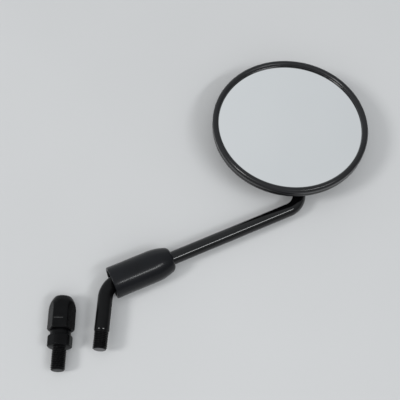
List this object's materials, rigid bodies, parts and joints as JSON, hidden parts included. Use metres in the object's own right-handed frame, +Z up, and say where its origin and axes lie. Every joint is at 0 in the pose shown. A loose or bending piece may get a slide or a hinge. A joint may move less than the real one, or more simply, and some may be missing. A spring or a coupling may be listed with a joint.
{
  "type": "motorcycle mirror",
  "caption": "Round convex rear-view mirror on a bent threaded stem, with a sliding rubber boot, a ball joint behind the glass and a loose threaded mounting adapter with its lock nut.",
  "frame": {"origin": "on the surface that the mirror lies on, under the middle of the whole layout", "axes": "+Z up, the way the mirror face looks; +Y from the stem's threaded end towards the mirror head; +X to the right"},
  "size_m": [0.229, 0.258, 0.0299],
  "materials": {
    "mirror": "silvered convex glass",
    "head_paint": "satin black paint on pressed steel",
    "stem_paint": "gloss black paint on steel bar",
    "adapter_zinc": "satin black coated steel",
    "boot_rubber": "smooth satin black rubber",
    "gasket_rubber": "black rubber",
    "foam": "grey foam tape",
    "socket_metal": "die-cast metal",
    "seat_plastic": "natural nylon",
    "screw_steel": "zinc plated steel"
  },
  "bodies": {
    "stem": {"stem": "stem_paint", "mount_adapter": "adapter_zinc", "lock_nut": "adapter_zinc"},
    "boot": {"rubber_boot": "boot_rubber"},
    "ball_seats": {"ball_seat_lower": "seat_plastic", "ball_seat_upper": "seat_plastic"},
    "head": {"mirror_glass": "mirror", "glass_gasket": "gasket_rubber", "foam_pad": "foam", "bezel": "head_paint", "back_shell": "head_paint", "entry_grommet": "gasket_rubber", "socket_base": "socket_metal", "socket_cap": "socket_metal", "clamp_screw_1": "screw_steel", "clamp_screw_2": "screw_steel", "clamp_spring_1": "screw_steel", "clamp_spring_2": "screw_steel"}
  },
  "joints": [
    {"name": "boot_slide", "type": "slide", "parent": "stem", "child": "boot", "axis": [0.882, 0.471, -0.0131], "range_m": [0, 0.06]},
    {"name": "head_roll", "type": "hinge", "parent": "stem", "child": "ball_seats", "pos_m": [0.06002, 0.03305, 0.0102], "axis": [-0.1668, 0.986, 0.0025], "range_deg": [-15, 15]},
    {"name": "head_tilt", "type": "hinge", "parent": "ball_seats", "child": "head", "pos_m": [0.06002, 0.03305, 0.0102], "axis": [0.986, 0.1668, 0], "range_deg": [-8, 8]}
  ]
}
